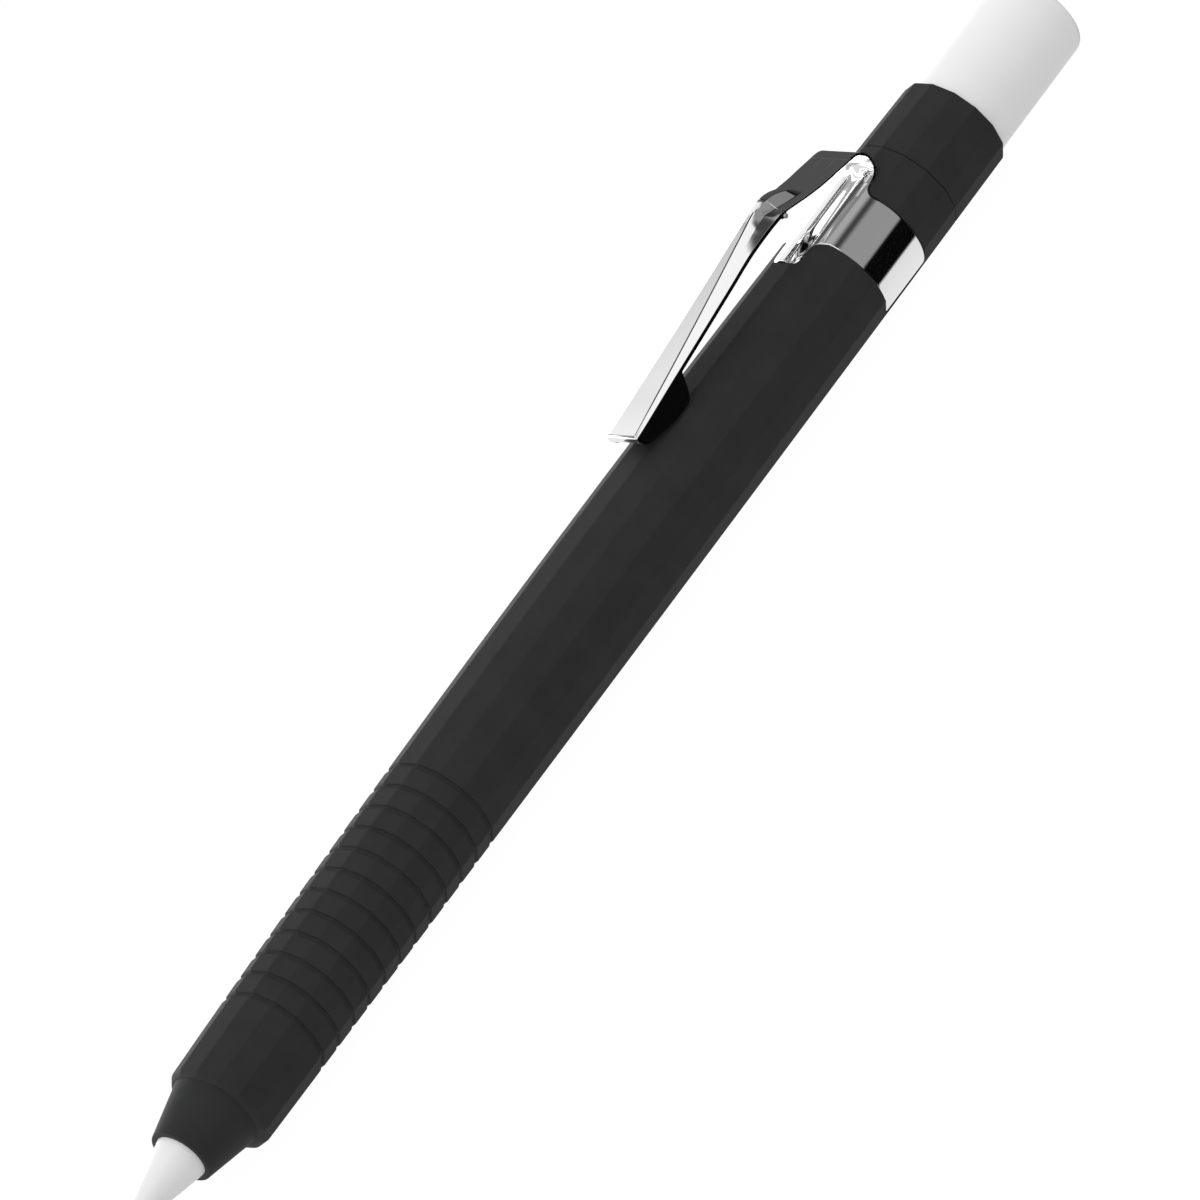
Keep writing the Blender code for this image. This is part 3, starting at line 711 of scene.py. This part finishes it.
def chrome_finish():
    """Bright nickel-chrome plate with the faint waviness of pressed sheet."""
    finish = Finish("clip_chrome", (0.90, 0.90, 0.905), 0.05, 1.0)
    wave = finish.noise(260, 2, 0.5, (0.35, 1.0, 1.0))
    haze = finish.noise(4200, 3, 0.6, (0.2, 1.0, 1.0))
    finish.feed("Base Color", finish.ramp(wave, [(0.3, grey(0.88)), (0.7, grey(0.92))]))
    finish.feed("Roughness", finish.span(haze, 0.03, 0.085))
    finish.bump(wave, 0.00002, 0.25)
    return finish.made


def white_finish(name, tone, roughness):
    """Moulded white plastic with a satin skin."""
    finish = Finish(name, grey(tone), roughness)
    cloud = finish.noise(120, 3, 0.5)
    grain = finish.noise(7000, 2, 0.5)
    finish.feed("Base Color", finish.ramp(cloud, [(0.3, grey(tone - 0.012)), (0.7, grey(tone + 0.012))]))
    finish.feed("Roughness", finish.span(grain, roughness - 0.05, roughness + 0.07))
    finish.bump(grain, 0.000004, 0.4)
    return finish.made


def metal_finish(name, colour, roughness, scale=3000, stretch=(1.0, 0.15, 1.0)):
    """Cut or drawn metal with fine lines."""
    finish = Finish(name, colour, roughness, 1.0)
    lines = finish.noise(scale, 3, 0.6, stretch)
    darker = tuple(c * 0.88 for c in colour)
    finish.feed("Base Color", finish.ramp(lines, [(0.3, darker), (0.7, colour)]))
    finish.feed("Roughness", finish.span(lines, roughness - 0.06, roughness + 0.1))
    finish.bump(lines, 0.00001, 0.4)
    return finish.made


def plain_finish(name, colour, roughness, scale=2500, depth=0.00001):
    """Moulded or coated inner parts: slight colour drift and a fine grain."""
    finish = Finish(name, colour, roughness)
    cloud = finish.noise(scale * 0.1, 3, 0.5)
    grain = finish.noise(scale, 2, 0.6)
    low, high = (tuple(c * f for c in colour) for f in (0.88, 1.1))
    finish.feed("Base Color", finish.ramp(cloud, [(0.3, low), (0.7, high)]))
    finish.feed("Roughness", finish.span(grain, roughness - 0.07, roughness + 0.08))
    finish.bump(grain, depth, 0.5)
    return finish.made


def dress(item, finish):
    item.data.materials.clear()
    item.data.materials.append(finish)


# ---------------------------------------------------------------- pieces and inner nodes
def show(item, body, slot, finish, *nodes):
    dress(item, finish)
    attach(item, body)
    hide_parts(*nodes)


silicone = silicone_finish()
chrome = chrome_finish()
show(make_barrel_skin(), "sleeve", "silicone", silicone, "sleeve_barrel")
show(make_cap_skin(), "sleeve", "silicone", silicone, "sleeve_cap_ring")
show(make_bracket_skin(), "sleeve", "clip_chrome", chrome, "clip_bracket")
show(make_arm_skin(), "clip_arm", "clip_chrome", chrome, "clip_arm")
show(make_pin_skin(), "sleeve", "pin_steel", metal_finish("pin_steel", grey(0.86), 0.5), "clip_pin")
show(make_shell_skin(), "stylus", "white_shell", white_finish("white_shell", 0.86, 0.32),
     "stylus_housing", "end_cap")
show(make_nib_skin(), "nib", "nib_plastic", white_finish("nib_plastic", 0.84, 0.38), "nib")

INNER = {
    "nib_metal": metal_finish("nib_metal", (0.60, 0.60, 0.62), 0.28),
    "bush_brass": metal_finish("bush_brass", (0.72, 0.56, 0.28), 0.3),
    "copper": metal_finish("copper", (0.80, 0.45, 0.28), 0.32),
    "battery": metal_finish("battery_foil", (0.62, 0.62, 0.64), 0.35, 900),
    "magnet_nickel": metal_finish("magnet_nickel", (0.70, 0.69, 0.66), 0.25),
    "frame_plastic": plain_finish("frame_plastic", (0.34, 0.35, 0.37), 0.5),
    "board": plain_finish("board_green", (0.03, 0.20, 0.09), 0.42),
    "chip": plain_finish("chip_black", (0.022, 0.022, 0.022), 0.4),
    "ferrite": plain_finish("ferrite_grey", (0.05, 0.05, 0.055), 0.55),
    "flex_film": plain_finish("flex_film", (0.55, 0.28, 0.05), 0.3),
    "seal_rubber": plain_finish("seal_rubber", (0.04, 0.04, 0.04), 0.75),
}
for part in frame["record"]["subparts"]:
    if part["material_slot"] in INNER:
        dress(frame["nodes"][part["node"]], INNER[part["material_slot"]])


# ---------------------------------------------------------------- camera
VIEW_WIDTH = 0.10345      # metres across the picture; the tip is cropped, as in the photograph


def make_camera():
    """The view along the photograph's direction, long enough to look almost parallel."""
    toward = Vector((-0.4226, -0.7600, 0.4936)).normalized()
    right = Vector((0.5429, -0.6484, -0.5336))
    right = (right - toward * right.dot(toward)).normalized()
    up = toward.cross(right)
    data = bpy.data.cameras.new("camera")
    data.lens = 1500
    data.sensor_width = 36
    distance = VIEW_WIDTH * data.lens / data.sensor_width
    data.clip_end = 100
    look = Vector((2.80 * MM, 0, AXIS_Z * MM)) + right * 0.000146 + up * -0.000107
    camera = bpy.data.objects.new("camera", data)
    turn = Matrix((right, up, toward)).transposed().to_4x4()
    camera.matrix_world = Matrix.Translation(look + toward * distance) @ turn
    bpy.context.scene.collection.objects.link(camera)
    bpy.context.scene.camera = camera


# ---------------------------------------------------------------- studio
def make_floor():
    """A pale floor that stays near white, with only a trace of shadow."""
    shape = bmesh.new()
    bmesh.ops.create_grid(shape, x_segments=1, y_segments=1, size=6)
    floor = link_mesh("floor", shape)
    floor.location.z = -0.00005
    made = bpy.data.materials.new("floor")
    made.use_nodes = True
    shader = made.node_tree.nodes["Principled BSDF"]
    shader.inputs["Base Color"].default_value = (0.035, 0.035, 0.035, 1)
    shader.inputs["Roughness"].default_value = 0.9
    shader.inputs["Specular IOR Level"].default_value = 0.0
    shader.inputs["Emission Color"].default_value = (1, 1, 1, 1)
    shader.inputs["Emission Strength"].default_value = 0.98
    floor.data.materials.append(made)
    floor.visible_diffuse = False
    floor.visible_glossy = False
    floor.visible_transmission = False
    floor.visible_shadow = False


class Studio:
    """World nodes for long panels parallel to the pencil, and a soft dome for matt surfaces."""

    def __init__(self):
        world = bpy.data.worlds.new("studio")
        bpy.context.scene.world = world
        world.use_nodes = True
        self.tree = world.node_tree
        place = self.tree.nodes.new("ShaderNodeTexCoord").outputs["Generated"]
        parts = self.tree.nodes.new("ShaderNodeSeparateXYZ")
        self.tree.links.new(place, parts.inputs["Vector"])
        self.x, self.y, self.z = parts.outputs
        angle = self.math("ARCTAN2", self.math("MULTIPLY", self.y, -1.0), self.z)
        self.turn = self.math("ADD", self.math("DIVIDE", angle, 2 * pi), 0.5)

    def math(self, kind, *values):
        made = self.tree.nodes.new("ShaderNodeMath")
        made.operation = kind
        for slot, value in zip(made.inputs, values):
            if isinstance(value, (int, float)):
                slot.default_value = value
            else:
                self.tree.links.new(value, slot)
        return made.outputs[0]

    def ring(self, stops):
        """Brightness round the pencil's axis; 0 degrees is straight up, 90 is toward the viewer."""
        made = self.tree.nodes.new("ShaderNodeValToRGB")
        elements = made.color_ramp.elements
        while len(elements) < len(stops):
            elements.new(0.5)
        for element, (degrees, value) in zip(elements, stops):
            element.position = degrees / 360 + 0.5
            element.color = (value, value, value, 1)
        self.tree.links.new(self.turn, made.inputs["Fac"])
        return made.outputs["Color"]

    def step(self, source, start, end, first, last):
        made = self.tree.nodes.new("ShaderNodeMapRange")
        made.interpolation_type = "SMOOTHSTEP"
        for name, value in (("From Min", start), ("From Max", end), ("To Min", first), ("To Max", last)):
            made.inputs[name].default_value = value
        self.tree.links.new(source, made.inputs["Value"])
        return made.outputs["Result"]

    def mix(self, share, first, second):
        """first where share is 0, second where it is 1."""
        return self.math("ADD", self.math("MULTIPLY", first, self.math("SUBTRACT", 1.0, share)),
                         self.math("MULTIPLY", second, share))


def make_world():
    """Panels for the gloss, an even dome for the rest, and plain white behind the object."""
    studio = Studio()
    end_panels = studio.ring([(-180, 0.84), (-100, 0.90), (-60, 0.96), (-22, 0.94), (-5, 0.40),
                              (11, 0.40), (19, 0.055), (25, 0.055), (33, 0.30), (84, 0.30),
                              (89, 0.002), (133, 0.002), (138, 0.80), (180, 0.84)])
    top_panels = studio.ring([(-180, 0.86), (-66, 0.94), (-60, 0.97), (-48, 0.97), (-45, 0.02),
                              (-6, 0.02), (-2, 0.99), (28, 1.02), (34, 0.30), (84, 0.30),
                              (89, 0.002), (133, 0.002), (138, 0.80), (180, 0.86)])
    strip = studio.ring([(-64, 0.0), (-60, 1.0), (-47, 1.0), (-44, 0.0)])
    graded = studio.mix(strip, 1.0, studio.step(studio.x, 0.255, 0.315, 0.53, 1.02))
    near_top = studio.math("MULTIPLY", top_panels, graded)
    panels = studio.mix(studio.step(studio.x, 0.33, 0.38, 0.0, 1.0), near_top, end_panels)
    side = studio.ring([(28, 0.0), (34, 0.8), (84, 0.8), (89, 0.0)])
    fade = studio.step(studio.x, 0.46, 0.56, 1.0, 0.085)
    back = studio.ring([(-110, 0.0), (-98, 1.0), (-72, 1.0), (-63, 0.0)])
    back = studio.math("MULTIPLY", back, studio.step(studio.x, 0.40, 0.45, 2.2, 0.0))
    gloss = studio.math("MULTIPLY", panels, studio.math("MAXIMUM", side, fade))
    gloss = studio.math("ADD", gloss, back)

    up = studio.math("ADD", studio.math("MULTIPLY", studio.y, 0.545),
                     studio.math("MULTIPLY", studio.z, 0.839))
    dome = studio.math("ADD", 0.86, studio.math("MULTIPLY", up, 0.33))

    path = studio.tree.nodes.new("ShaderNodeLightPath")
    light = studio.mix(path.outputs["Is Glossy Ray"], dome, gloss)
    light = studio.mix(path.outputs["Is Camera Ray"], light, 1.0)
    studio.tree.links.new(light, studio.tree.nodes["Background"].inputs["Color"])


def make_key():
    """A weak soft key from the upper left that only shades, so it leaves no mark in the chrome."""
    data = bpy.data.lights.new("key", "AREA")
    data.shape = "RECTANGLE"
    data.size = 1.2
    data.size_y = 0.8
    data.energy = 2
    key = bpy.data.objects.new("key", data)
    toward = Vector((-0.15, 0.62, 0.77)).normalized()
    key.location = toward * 2.0
    key.rotation_euler = toward.to_track_quat("Z", "Y").to_euler()
    key.visible_glossy = False
    bpy.context.scene.collection.objects.link(key)


make_camera()
make_floor()
make_world()
make_key()
bpy.context.scene.view_settings.view_transform = "Standard"
